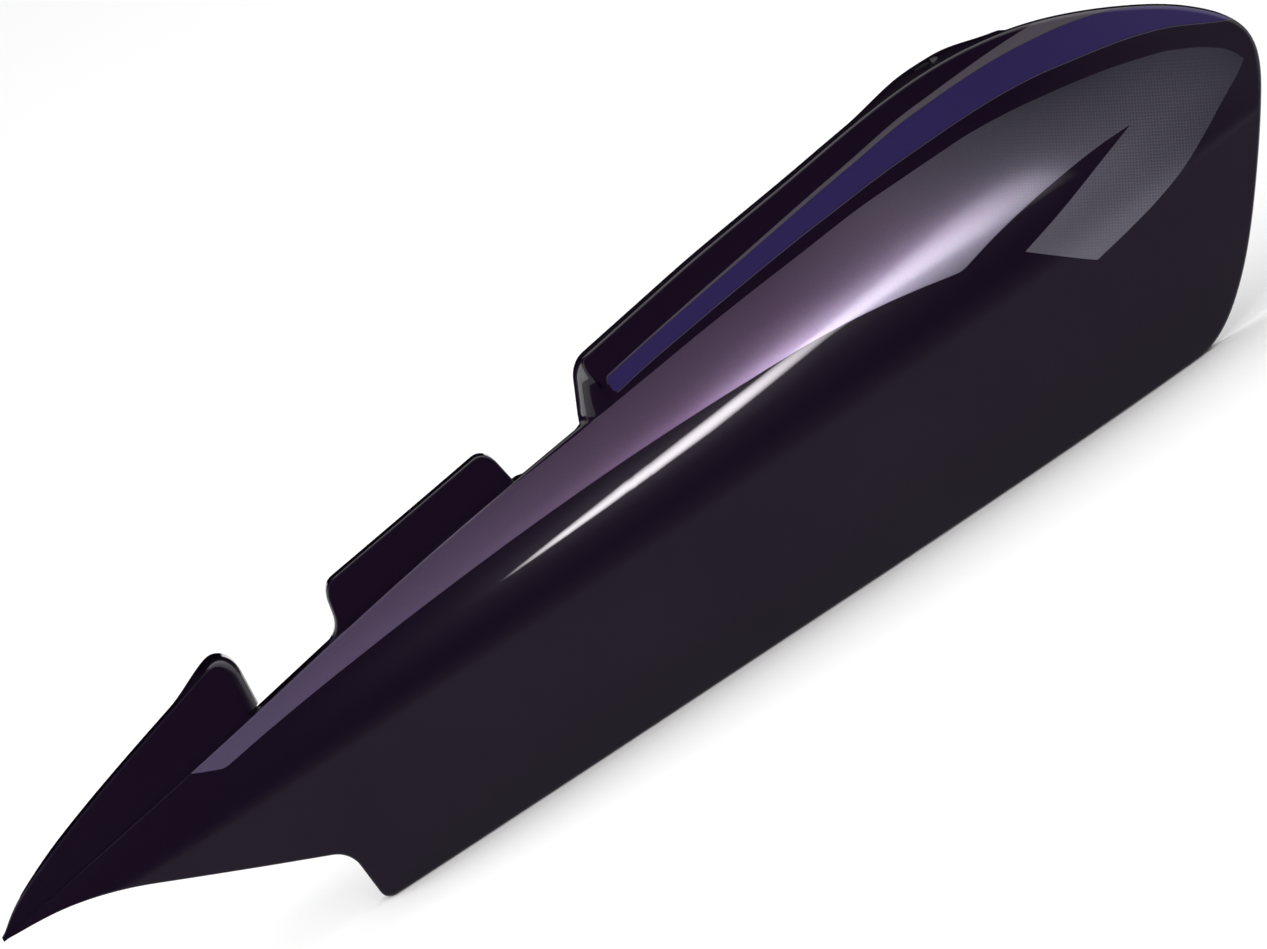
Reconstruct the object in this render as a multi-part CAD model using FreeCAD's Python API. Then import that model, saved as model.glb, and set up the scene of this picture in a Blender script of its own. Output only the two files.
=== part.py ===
import FreeCAD, Part
import os

from FreeCAD import Vector

# Left tail panel of a motorcycle, moulded in one piece. X runs to the rear, Y to the middle of
# the motorcycle and Z up. While modelling, lengths run from the tip of the nose, heights from the
# straight lower edge and depths from the outermost line of the side. The finished panel is then
# moved so that the bolt hole in its ear is the origin.

# Moulding
wall = 2.5
return_depth = 12.0
notch_return_depth = 5.0
tail_return_depth = 6.0
tail_return_x = 588.0

# Lower edge and foot
foot_x = 151.0
foot_corner_radius = 5.0
hem_end_x = 582.0

# Nose
nose_tip = Vector(0, 0, 78.5)
nose_under = Vector(26.0, 0, 77.0)
nose_bend = Vector(70.0, 0, 64.5)
nose_throat = Vector(147.5, 0, 29.5)
nose_throat_radius = 8.0

# Hump in the rear half, with a rolled front end
step_root_x = 335.0
step_top = Vector(348.0, 0, 149.3)
step_corner_radius = 12.0
roll_radius = 10.0
hump_shoulder = Vector(405.0, 0, 157.2)
hump_back = Vector(476.0, 0, 164.5)
hump_peak = Vector(546.0, 0, 169.0)

# Tail, from the hump round its tip to the lower edge
tail_upper = (Vector(600.0, 0, 160.5), Vector(643.0, 0, 140.8), Vector(670.0, 0, 121.0))
tail_tip = Vector(681.0, 0, 104.0)
tail_lower = (Vector(670.0, 0, 80.0), Vector(643.0, 0, 46.5), Vector(613.0, 0, 15.0))

# Flange of the nose and tab behind it, both set back to go under the seat
set_back = 5.0
lip_depth = 9.0
root_overlap = 5.0
nose_solid = 20.0
flange_ridge = (Vector(9.0, 0, 84.7), Vector(26.0, 0, 92.5), Vector(70.0, 0, 107.0))
flange_root_xs = (100.0, 60.0)
flange_end_x = 153.0
flange_rise = 26.5
flange_taper = 5.0
flange_radius = 5.0
flange_end_depth = 17.0
flange_end_length = 14.0
tab_front_x = 197.5
tab_rear_x = 298.0
tab_front_rise = 18.0
tab_rear_rise = 15.5
tab_front_taper = 4.5
tab_rear_taper = 3.0
tab_front_radius = 9.0
tab_rear_radius = 5.0
tab_flare_length = 10.0
tab_flare_radius = 8.0

# Bolt ear, where the upper return swells: it rises slowly from the front and ends short behind
ear_reach = 15.0
ear_front_length = 50.0
ear_rear_length = 36.0
ear_crown = 14.0
bolt_x = 552.0
bolt_inset = 11.0
bolt_hole_radius = 3.5
bolt_pad_radius = 8.0
bolt_pad_height = 5.0

# Locating pin behind the foot, on a boss whose end is the stop
pin_x = 190.0
pin_height = 26.0
pin_radius = 4.0
pin_length = 14.0
pin_chamfer = 1.2
boss_radius = 6.0
boss_height = 8.0
gusset_reach = 6.0
gusset_thickness = 2.0

# Sections of the outer face, nose to tail: station, depth and height of the outermost line,
# height of the crease, fall of the face from that line up to the crease, fall down to the lower
# edge, and inward lean of the face above the crease.
sections = (
    (-20.0, 24.0, 70.0, 75.0, 2.5, 8.0, 0.70),
    (120.0, 9.0, 62.0, 98.0, 9.0, 8.5, 0.85),
    (240.0, 3.0, 60.0, 117.5, 15.5, 11.0, 1.00),
    (345.0, 0.5, 59.0, 130.0, 20.0, 13.0, 1.08),
    (450.0, 0.0, 59.0, 140.0, 23.0, 14.0, 1.10),
    (550.0, 6.0, 62.0, 142.5, 25.0, 14.5, 1.10),
    (620.0, 20.0, 66.0, 129.5, 22.0, 14.5, 1.10),
    (705.0, 58.0, 72.0, 97.0, 14.0, 14.0, 1.10),
)
crease_blend = 5.0
crease_xs = (45.0, 100.0, 160.0, 220.0, 280.0)

# Control net of the outer face: rows on the barrel, as shares of the crease height, and rows
# above the crease
net_columns = 24
net_barrel = [-0.14 + 0.063 * i for i in range(18)]
net_above = (-4.0, 0.0, 4.0, 12.0, 24.0, 36.0, 48.0, 60.0)

# Room that the cutting tools have beside, in front of and behind the panel
clear_side = 40.0
clear_front = -40.0
clear_depth = 240.0


def along(x, column):
    # Smooth curve through one column of the sections.
    points = [(row[0], row[column]) for row in sections]
    last = len(points) - 1
    slopes = []
    for i in range(last + 1):
        before = points[max(i - 1, 0)]
        after = points[min(i + 1, last)]
        slopes.append((after[1] - before[1]) / (after[0] - before[0]))
    i = 0
    while i < last - 1 and x > points[i + 1][0]:
        i += 1
    span = points[i + 1][0] - points[i][0]
    t = (x - points[i][0]) / span
    start = points[i][1] * (1 + 2 * t) + slopes[i] * span * t
    end = points[i + 1][1] * (3 - 2 * t) + slopes[i + 1] * span * (t - 1)
    return start * (1 - t) ** 2 + end * t ** 2


def crease(x):
    return along(x, 3)


def skin_depth(x, z):
    # Depth of the outer face: a barrel up to the crease, a straight lean above it.
    waist, waist_z, crease_z, fall_up, fall_down, lean = [along(x, c) for c in range(1, 7)]
    if z < waist_z:
        return waist + fall_down * ((waist_z - z) / waist_z) ** 2
    rise = crease_z - waist_z
    start = crease_z - crease_blend
    depth = waist + fall_up * ((min(z, start) - waist_z) / rise) ** 2
    if z > start:
        slope = 2 * fall_up * (start - waist_z) / rise ** 2
        bend = min(z - start, 2 * crease_blend)
        depth += slope * bend + (lean - slope) * bend ** 2 / (4 * crease_blend)
        depth += lean * (z - start - bend)
    return depth


def skin_point(x, z, inward):
    # Point on the outer face, or square to it inside the wall.
    step = 0.5
    slope_x = (skin_depth(x + step, z) - skin_depth(x - step, z)) / (2 * step)
    slope_z = (skin_depth(x, z + step) - skin_depth(x, z - step)) / (2 * step)
    square = Vector(-slope_x, 1, -slope_z).normalize()
    return Vector(x, skin_depth(x, z), z) + square * inward


def behind_skin(inward, depth):
    # Everything from the outer face, moved in, to a depth behind it.
    first = sections[0][0]
    length = sections[-1][0] - first
    net = []
    for i in range(net_columns + 1):
        x = first + length * i / net_columns
        heights = [share * crease(x) for share in net_barrel]
        heights += [crease(x) + rise for rise in net_above]
        net.append([skin_point(x, z, inward) for z in heights])
    knots_x = list(range(net_columns - 1))
    knots_z = list(range(len(heights) - 2))
    times_x = [4] + [1] * (len(knots_x) - 2) + [4]
    times_z = [4] + [1] * (len(knots_z) - 2) + [4]
    surface = Part.BSplineSurface()
    surface.buildFromPolesMultsKnots(net, times_x, times_z, knots_x, knots_z, False, False, 3, 3)
    return surface.toShape().extrude(Vector(0, depth, 0))


def line(*points):
    return Part.makePolygon(points).Edges


def curve(points, start=None, end=None):
    # Smooth curve, with its directions at both ends where they are given.
    spline = Part.BSplineCurve()
    if start:
        spline.interpolate(Points=points, InitialTangent=start, FinalTangent=end)
    else:
        spline.interpolate(points)
    return [spline.toShape()]


def through(edges):
    # Side view carried right through the panel.
    face = Part.Face(Part.Wire(edges))
    face.translate(Vector(0, clear_front, 0))
    return face.extrude(Vector(0, clear_depth, 0))


def rounded(solid, corner, radius):
    # Rounds the edge that runs across the panel at one corner of the side view.
    across = [e for e in solid.Edges if abs(e.tangentAt(e.FirstParameter).y) > 0.999]
    nearest = min(across, key=lambda e: (e.Vertexes[0].Point - corner).cross(Vector(0, 1, 0)).Length)
    return solid.makeFillet(radius, [nearest])


def plain(edge):
    # Straight and round edges stay; the offset of a curve becomes a curve of its own.
    if isinstance(edge.Curve, (Part.Line, Part.Circle)):
        return edge
    count = max(6, int(edge.Length / 12))
    return curve(edge.discretize(Number=count))[0]


def inset(solid, amount):
    # The same side view, moved in all round.
    face = min(solid.Faces, key=lambda f: f.CenterOfMass.y)
    edges = [plain(e) for e in face.makeOffset2D(-amount).OuterWire.OrderedEdges]
    return Part.Face(Part.Wire(edges)).extrude(Vector(0, clear_depth, 0))


def panel_side():
    # Side view of the panel: crease, step, hump, tail, lower edge, foot and nose.
    root = Vector(step_root_x, 0, crease(step_root_x))
    foot = Vector(foot_x, 0, 0)
    hem_end = Vector(hem_end_x, 0, 0)
    crease_line = [Vector(x, 0, crease(x)) for x in crease_xs]
    tail = [hump_shoulder, hump_back, hump_peak, *tail_upper, tail_tip, *tail_lower, hem_end]
    edges = curve([nose_tip, *crease_line, root])
    edges += line(root, step_top, hump_shoulder)
    edges += curve(tail, hump_shoulder - step_top, foot - hem_end)
    edges += line(hem_end, foot, nose_throat, nose_bend)
    edges += curve([nose_bend, nose_under, nose_tip], nose_bend - nose_throat, nose_tip - nose_under)
    side = through(edges)
    side = rounded(side, step_top, step_corner_radius)
    side = rounded(side, foot, foot_corner_radius)
    return rounded(side, nose_throat, nose_throat_radius)


def flange_side(lip):
    # Side view of the flange on the nose, or of the hollow inside its lip.
    low = Vector(0, 0, -lip)
    end_x = flange_end_x - lip
    top = Vector(end_x - flange_taper, 0, crease(flange_end_x) + flange_rise) + low
    end = Vector(end_x, 0, crease(end_x) - root_overlap) + low
    ridge = [point + low for point in (nose_tip, *flange_ridge) if lip == 0 or point.x > nose_solid]
    ridge.append(top)
    root = [Vector(x, 0, crease(x) - root_overlap) + low for x in flange_root_xs] + [ridge[0]]
    side = through(curve(ridge) + line(top, end, *root))
    return rounded(side, top, flange_radius - lip)


def tab_side(lip):
    # Side view of the tab, or of the hollow inside its lip.
    low = Vector(0, 0, -lip)
    front_x = tab_front_x + lip
    rear_x = tab_rear_x - lip
    front_root = Vector(front_x, 0, crease(tab_front_x) - root_overlap) + low
    front_top = Vector(front_x + tab_front_taper, 0, crease(tab_front_x) + tab_front_rise) + low
    rear_top = Vector(rear_x - tab_rear_taper, 0, crease(tab_rear_x) + tab_rear_rise) + low
    rear_root = Vector(rear_x, 0, crease(tab_rear_x) - root_overlap) + low
    side = through(line(front_root, front_top, rear_top, rear_root, front_root))
    side = rounded(side, front_top, tab_front_radius - lip)
    return rounded(side, rear_top, tab_rear_radius - lip)


def tab_flare():
    # Hollow curve in which the front of the tab runs out on the crease.
    toe_x = tab_front_x - tab_flare_length
    inside_x = tab_front_x + tab_front_taper + tab_front_radius
    toe = Vector(toe_x, 0, crease(toe_x))
    toe_root = toe - Vector(0, 0, root_overlap)
    corner = Vector(tab_front_x, 0, crease(tab_front_x))
    top = Vector(tab_front_x + tab_front_taper, 0, corner.z + tab_front_rise)
    middle = corner + (top - corner) * 0.5
    inside = Vector(inside_x, 0, middle.z)
    inside_root = Vector(inside_x, 0, crease(inside_x) - root_overlap)
    side = through(line(toe_root, toe, corner, middle, inside, inside_root, toe_root))
    side = rounded(side, corner, tab_flare_radius)
    return behind_skin(set_back, wall).common(side)


def flange_end():
    # Deeper lip on the rear end of the flange.
    rim = flange_side(0).cut(flange_side(wall))
    end = clear_box(flange_end_x - flange_end_length, flange_end_x + clear_side)
    return behind_skin(set_back, flange_end_depth).common(rim).common(end)


def roll_cutter(grow):
    # Space in front of the rolled end of the hump, or that space and the wall behind it.
    foot = Vector(step_root_x, skin_depth(step_root_x, crease(step_root_x)), crease(step_root_x))
    top = Vector(step_top.x, skin_depth(step_top.x, step_top.z), step_top.z)
    run = top - foot
    radius = roll_radius - grow
    outer_y = foot.y + grow
    face_x = foot.x + grow
    height = foot.z
    ahead_x = face_x - clear_side
    back_y = outer_y + clear_side
    front_y = outer_y - clear_side
    turn = radius * (1 - 0.5 ** 0.5)
    arc = Part.Arc(Vector(face_x, outer_y + radius, height), Vector(face_x + turn, outer_y + turn, height),
                   Vector(face_x + radius, outer_y, height)).toShape()
    edges = [arc]
    edges += line(Vector(face_x + radius, outer_y, height), Vector(face_x + radius, front_y, height),
                  Vector(ahead_x, front_y, height), Vector(ahead_x, back_y, height),
                  Vector(face_x, back_y, height), Vector(face_x, outer_y + radius, height))
    profile = Part.Face(Part.Wire(edges))
    profile.translate(-run)
    return profile.extrude(run * 4)


def above_crease(lift):
    # Everything over the crease line near the front end of the hump.
    start = step_root_x - clear_side
    end = step_root_x + clear_side
    ceiling = hump_peak.z + clear_side
    low = [Vector(x, 0, crease(x) + lift) for x in (start, step_root_x, end)]
    edges = curve(low) + line(low[-1], Vector(end, 0, ceiling), Vector(start, 0, ceiling), low[0])
    return through(edges)


def clear_box(start_x, end_x):
    # Everything between two stations.
    height = hump_peak.z + 2 * clear_side
    corner = Vector(start_x, clear_front, -clear_side)
    return Part.makeBox(end_x - start_x, clear_depth, height, corner)


def shallow_returns():
    # What the returns lack behind the notch at the hump's front end and round the tail.
    notch = clear_box(tab_rear_x, step_root_x).common(above_crease(-root_overlap))
    notch = notch.common(behind_skin(notch_return_depth, clear_depth))
    tail = clear_box(tail_return_x, tail_tip.x + clear_side)
    return notch.fuse(tail.common(behind_skin(tail_return_depth, clear_depth)))


def shell():
    # Main wall with its returns and the rolled front end of the hump.
    side = panel_side()
    outer = behind_skin(0, return_depth).common(side)
    outer = outer.cut(roll_cutter(0).common(above_crease(0)))
    inner = behind_skin(wall, 2 * return_depth).common(inset(side, wall))
    inner = inner.cut(roll_cutter(wall).common(above_crease(-wall)))
    return outer.cut(inner).cut(shallow_returns())


def set_back_tray(side_view):
    # Set-back part: a wall with a lip along its free edges, open towards its root.
    outer = behind_skin(set_back, lip_depth).common(side_view(0))
    return outer.cut(behind_skin(set_back + wall, 2 * lip_depth).common(side_view(wall)))


def bolt_seat():
    # Middle of the bolt hole on the upper side of the ear.
    edge_y = skin_depth(bolt_x, hump_peak.z)
    return Vector(bolt_x, edge_y + return_depth + ear_reach - bolt_inset, hump_peak.z)


def ear():
    # Deeper stretch of the upper return, with a pad for the bolt.
    side = panel_side()
    seat = bolt_seat()
    crown_y = seat.y + bolt_inset
    flush_y = crown_y - ear_reach - return_depth
    floor_z = hump_shoulder.z
    front = Vector(bolt_x - ear_front_length, flush_y + return_depth / 2, floor_z)
    crown_front = Vector(bolt_x - ear_crown / 2, crown_y, floor_z)
    crown_rear = Vector(bolt_x + ear_crown / 2, crown_y, floor_z)
    rear = Vector(bolt_x + ear_rear_length, flush_y + return_depth / 2, floor_z)
    ahead = Vector(1, 0, 0)
    edges = curve([front, crown_front], Vector(1, 0.2, 0), ahead) + line(crown_front, crown_rear)
    edges += curve([crown_rear, rear], ahead, Vector(0.3, -1, 0))
    edges += line(rear, Vector(rear.x, clear_front, floor_z), Vector(front.x, clear_front, floor_z), front)
    plan = Part.Face(Part.Wire(edges)).extrude(Vector(0, 0, floor_z))
    rim = side.cut(inset(side, wall)).common(plan)
    pad = Part.makeCylinder(bolt_pad_radius, bolt_pad_height, seat, Vector(0, 0, -1))
    return rim.common(behind_skin(0, clear_depth)).fuse(pad)


def bolt_hole():
    seat = bolt_seat()
    above = Vector(seat.x, seat.y, seat.z + bolt_pad_height)
    return Part.makeCylinder(bolt_hole_radius, 3 * bolt_pad_height, above, Vector(0, 0, -1))


def locating_pin():
    # Pin for a rubber grommet, on the inside of the wall, with four gussets round its boss.
    base = Vector(pin_x, skin_depth(pin_x, pin_height) + wall / 2, pin_height)
    inward = Vector(0, 1, 0)
    rise = wall / 2 + boss_height
    boss = Part.makeCylinder(boss_radius, rise, base, inward)
    pin = Part.makeCylinder(pin_radius, pin_length, base + inward * rise, inward)
    tip = max(pin.Edges, key=lambda e: e.CenterOfMass.y)
    pieces = [pin.makeChamfer(pin_chamfer, [tip])]
    for quarter in range(4):
        low = Vector(0, 0, 0)
        out = Vector(boss_radius + gusset_reach, 0, 0)
        up = Vector(boss_radius, rise, 0)
        inside = Vector(0, rise, 0)
        plate = Part.Face(Part.Wire(line(low, out, up, inside, low)))
        plate = plate.extrude(Vector(0, 0, gusset_thickness))
        plate.translate(Vector(0, 0, -gusset_thickness / 2))
        plate.rotate(Vector(0, 0, 0), inward, 90 * quarter)
        plate.translate(base)
        pieces.append(plate)
    return boss.multiFuse(pieces).common(behind_skin(wall / 4, clear_depth))


os.makedirs("parts", exist_ok=True)
trays = [set_back_tray(flange_side), flange_end(), set_back_tray(tab_side), tab_flare()]
panel = shell().multiFuse(trays + [ear(), locating_pin()])
panel = panel.cut(bolt_hole()).removeSplitter()
panel.translate(-bolt_seat())
panel.Solids[0].exportStep("parts/tail_panel.step")
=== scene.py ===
import math
import bpy
from mathutils import Matrix, Vector


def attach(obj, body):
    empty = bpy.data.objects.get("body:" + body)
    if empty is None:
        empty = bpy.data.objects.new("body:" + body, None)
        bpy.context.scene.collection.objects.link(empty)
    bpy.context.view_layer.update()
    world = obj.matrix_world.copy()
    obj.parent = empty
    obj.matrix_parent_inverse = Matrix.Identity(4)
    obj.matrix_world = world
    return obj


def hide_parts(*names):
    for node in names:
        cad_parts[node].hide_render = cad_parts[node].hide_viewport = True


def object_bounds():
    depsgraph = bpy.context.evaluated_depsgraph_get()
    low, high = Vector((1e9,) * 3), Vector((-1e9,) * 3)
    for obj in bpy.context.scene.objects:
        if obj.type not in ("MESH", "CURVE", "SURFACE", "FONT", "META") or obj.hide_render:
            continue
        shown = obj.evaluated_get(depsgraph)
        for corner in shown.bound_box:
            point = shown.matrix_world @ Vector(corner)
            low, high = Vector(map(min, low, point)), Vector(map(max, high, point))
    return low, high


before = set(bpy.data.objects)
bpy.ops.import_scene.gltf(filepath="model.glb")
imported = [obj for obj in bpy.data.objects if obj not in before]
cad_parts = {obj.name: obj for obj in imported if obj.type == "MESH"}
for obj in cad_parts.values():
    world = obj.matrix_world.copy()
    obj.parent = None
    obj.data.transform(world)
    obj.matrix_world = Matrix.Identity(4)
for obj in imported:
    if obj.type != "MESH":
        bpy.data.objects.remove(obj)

cadBox = [list(corner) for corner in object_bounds()]
scene = bpy.context.scene
scene.view_settings.view_transform = "Standard"
millimetre = 0.001


# face of the panel in mm: length from the nose tip, height from the lower edge, depth from the outermost line
face = {
    "sections": (  # station, waist depth, waist height, crease height, fall up, fall down, lean above it
        (-20.0, 24.0, 70.0, 75.0, 2.5, 8.0, 0.70),
        (120.0, 9.0, 62.0, 98.0, 9.0, 8.5, 0.85),
        (240.0, 3.0, 60.0, 117.5, 15.5, 11.0, 1.00),
        (345.0, 0.5, 59.0, 130.0, 20.0, 13.0, 1.08),
        (450.0, 0.0, 59.0, 140.0, 23.0, 14.0, 1.10),
        (550.0, 6.0, 62.0, 142.5, 25.0, 14.5, 1.10),
        (620.0, 20.0, 66.0, 129.5, 22.0, 14.5, 1.10),
        (705.0, 58.0, 72.0, 97.0, 14.0, 14.0, 1.10),
    ),
    "creaseColumn": 3, "creaseBlend": 5.0, "slopeStep": 0.5,
}


def along(x, column):  # smooth curve through one column of the sections
    rows = face["sections"]
    last = len(rows) - 1
    i = 0
    while i < last - 1 and x > rows[i + 1][0]:
        i += 1

    def slope(k):
        before, after = rows[max(k - 1, 0)], rows[min(k + 1, last)]
        return (after[column] - before[column]) / (after[0] - before[0])

    span = rows[i + 1][0] - rows[i][0]
    t = (x - rows[i][0]) / span
    start = rows[i][column] * (1 + 2 * t) + slope(i) * span * t
    end = rows[i + 1][column] * (3 - 2 * t) + slope(i + 1) * span * (t - 1)
    return start * (1 - t) ** 2 + end * t ** 2


def creaseHeight(x):
    return along(x, face["creaseColumn"])


def skinDepth(x, z):  # a barrel up to the crease, a straight lean above it
    columns = range(1, len(face["sections"][0]))
    waist, waistZ, creaseZ, fallUp, fallDown, lean = [along(x, c) for c in columns]
    if z < waistZ:
        return waist + fallDown * ((waistZ - z) / waistZ) ** 2
    rise = creaseZ - waistZ
    blend = face["creaseBlend"]
    start = creaseZ - blend
    depth = waist + fallUp * ((min(z, start) - waistZ) / rise) ** 2
    if z > start:
        slope = 2 * fallUp * (start - waistZ) / rise ** 2
        bend = min(z - start, 2 * blend)
        depth += slope * bend + (lean - slope) * bend ** 2 / (4 * blend)
        depth += lean * (z - start - bend)
    return depth


def stretch(x, z):  # how much longer the wall is along Y than square to the face
    step = face["slopeStep"]
    slopeX = (skinDepth(x + step, z) - skinDepth(x - step, z)) / (2 * step)
    slopeZ = (skinDepth(x, z + step) - skinDepth(x, z - step)) / (2 * step)
    return math.sqrt(1 + slopeX ** 2 + slopeZ ** 2)


# runs of the side view
def smoothRun(points, startWay=None, endWay=None, steps=24, passes=40):  # even curve through the points
    last = len(points) - 1
    spans = [(points[i + 1] - points[i]).length for i in range(last)]
    leans = [(points[i + 1] - points[i]) / spans[i] for i in range(last)]
    ways = [leans[0]] + leans
    ways[0] = startWay.normalized() if startWay else leans[0]
    ways[last] = endWay.normalized() if endWay else leans[-1]
    for _ in range(passes):
        for i in range(1, last):
            pull = 3 * (spans[i] * leans[i - 1] + spans[i - 1] * leans[i])
            pull -= spans[i] * ways[i - 1] + spans[i - 1] * ways[i + 1]
            ways[i] = pull / (2 * (spans[i - 1] + spans[i]))
    run = [points[0]]
    for i in range(last):
        for k in range(1, steps + 1):
            t = k / steps
            start = points[i] * (1 + 2 * t) + ways[i] * spans[i] * t
            end = points[i + 1] * (3 - 2 * t) + ways[i + 1] * spans[i] * (t - 1)
            run.append(start * (1 - t) ** 2 + end * t ** 2)
    return run


def roundCorner(before, corner, after, radius, steps=16):
    a, b = (before - corner).normalized(), (after - corner).normalized()
    half = a.angle(b) / 2
    centre = corner + (a + b).normalized() * radius / math.sin(half)
    start = corner + a * radius / math.tan(half) - centre
    end = corner + b * radius / math.tan(half) - centre
    turn = start.angle(end)
    run = []
    for k in range(steps + 1):
        f = k / steps
        run.append(centre + (start * math.sin((1 - f) * turn) + end * math.sin(f * turn)) / math.sin(turn))
    return run


def spread(run, count):  # the same run with even steps
    reach = [0.0]
    for a, b in zip(run, run[1:]):
        reach.append(reach[-1] + (b - a).length)
    points, k = [], 0
    for i in range(count + 1):
        goal = reach[-1] * i / count
        while k < len(run) - 2 and reach[k + 1] < goal:
            k += 1
        step = reach[k + 1] - reach[k]
        points.append(run[k].lerp(run[k + 1], (goal - reach[k]) / step if step else 0))
    return points


def chain(runs, counts):  # even steps within each run
    points = []
    for run, count in zip(runs, counts):
        points += spread(run, count)[:-1]
    return points + [runs[-1][-1]]


def onCrease(x, rise=0.0):
    return Vector((x, creaseHeight(x) + rise))


def creaseRun(start, end, rise=0.0, spacing=2.0):
    steps = max(2, int(abs(end - start) / spacing))
    return [onCrease(start + (end - start) * k / steps, rise) for k in range(steps + 1)]


def smooth(t):
    t = min(max(t, 0.0), 1.0)
    return t * t * (3 - 2 * t)


# moulded wall, its returns and the bolt ear
moulding = {
    "wall": 2.5, "returnDepth": 12.0, "notchReturn": 5.0, "notch": (301.0, 340.0),
    "tailReturn": 6.0, "tailX": 588.0, "fade": 4.0, "edgeRound": 1.8, "arcSteps": 8,
    "rimRound": 0.6, "rimCut": 0.3, "rimPoints": 3,
    "rimParts": 3, "innerParts": 5,  # wall over these: most for the rim's rounding, least inside an edge
    "rowCrowding": 0.8, "weld": 0.000004, "sliver": 0.000002,
}
ear = {"boltX": 552.0, "boltZ": 169.0, "reach": 15.0, "inset": 11.0, "front": 508.0, "crown": (545.0, 559.0),
       "rear": 586.0}
seat = Vector((ear["boltX"], skinDepth(ear["boltX"], ear["boltZ"]), ear["boltZ"]))
seat.y += moulding["returnDepth"] + ear["reach"] - ear["inset"]
arcAngles = [math.radians(90 * k / moulding["arcSteps"]) for k in range(moulding["arcSteps"] + 1)]


def inRow(x, y, z):  # panel mm to the row's metres
    return (Vector((x, y, z)) - seat) * millimetre


def hemReturn(x):
    tail = smooth((x - moulding["tailX"]) / moulding["fade"])
    return moulding["returnDepth"] + (moulding["tailReturn"] - moulding["returnDepth"]) * tail


def upperReturn(x):
    start, end = moulding["notch"]
    notch = smooth((x - start) / moulding["fade"]) * smooth((end - x) / moulding["fade"])
    rising = smooth((x - ear["front"]) / (ear["crown"][0] - ear["front"]))
    falling = smooth((ear["rear"] - x) / (ear["rear"] - ear["crown"][1]))
    shallow = (moulding["notchReturn"] - moulding["returnDepth"]) * notch
    return hemReturn(x) + shallow + ear["reach"] * rising * falling


def edgeRing(offRound, inRound, wall, depth, lean=1.0):
    # from the face round the edge to the inside: steps in from the edge and back from the face
    ring = [(offRound * (1 - math.sin(a)), inRound * (1 - math.cos(a))) for a in arcAngles]
    lip = min(moulding["rimRound"], wall / moulding["rimParts"])
    cut = lip * moulding["rimCut"]
    ring += [(0, depth - lip), (cut, depth - cut), (lip, depth)]
    ring += [(wall - lip, depth), (wall - cut, depth - cut), (wall, depth - lip)]
    least = wall / moulding["innerParts"]
    innerOff, innerIn = max(offRound - wall, least), max(inRound - wall * lean, least)
    for a in reversed(arcAngles):
        ring.append((wall + innerOff * (1 - math.sin(a)), wall * lean + innerIn * (1 - math.cos(a))))
    return ring


def inwardWays(points, side):  # square to the run, towards the middle of the panel
    last = len(points) - 1
    ways = []
    for i in range(last + 1):
        way = (points[min(i + 1, last)] - points[max(i - 1, 0)]).normalized()
        ways.append(Vector((way.y, -way.x)) * side)
    return ways


def deselectAll():
    if bpy.context.object and bpy.context.object.mode != "OBJECT":
        bpy.ops.object.mode_set(mode="OBJECT")
    bpy.ops.object.select_all(action="DESELECT")


def selectOnly(piece):
    deselectAll()
    piece.select_set(True)
    bpy.context.view_layer.objects.active = piece


def softenShading(piece, degrees=38):
    selectOnly(piece)
    bpy.ops.object.shade_smooth_by_angle(angle=math.radians(degrees))


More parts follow.
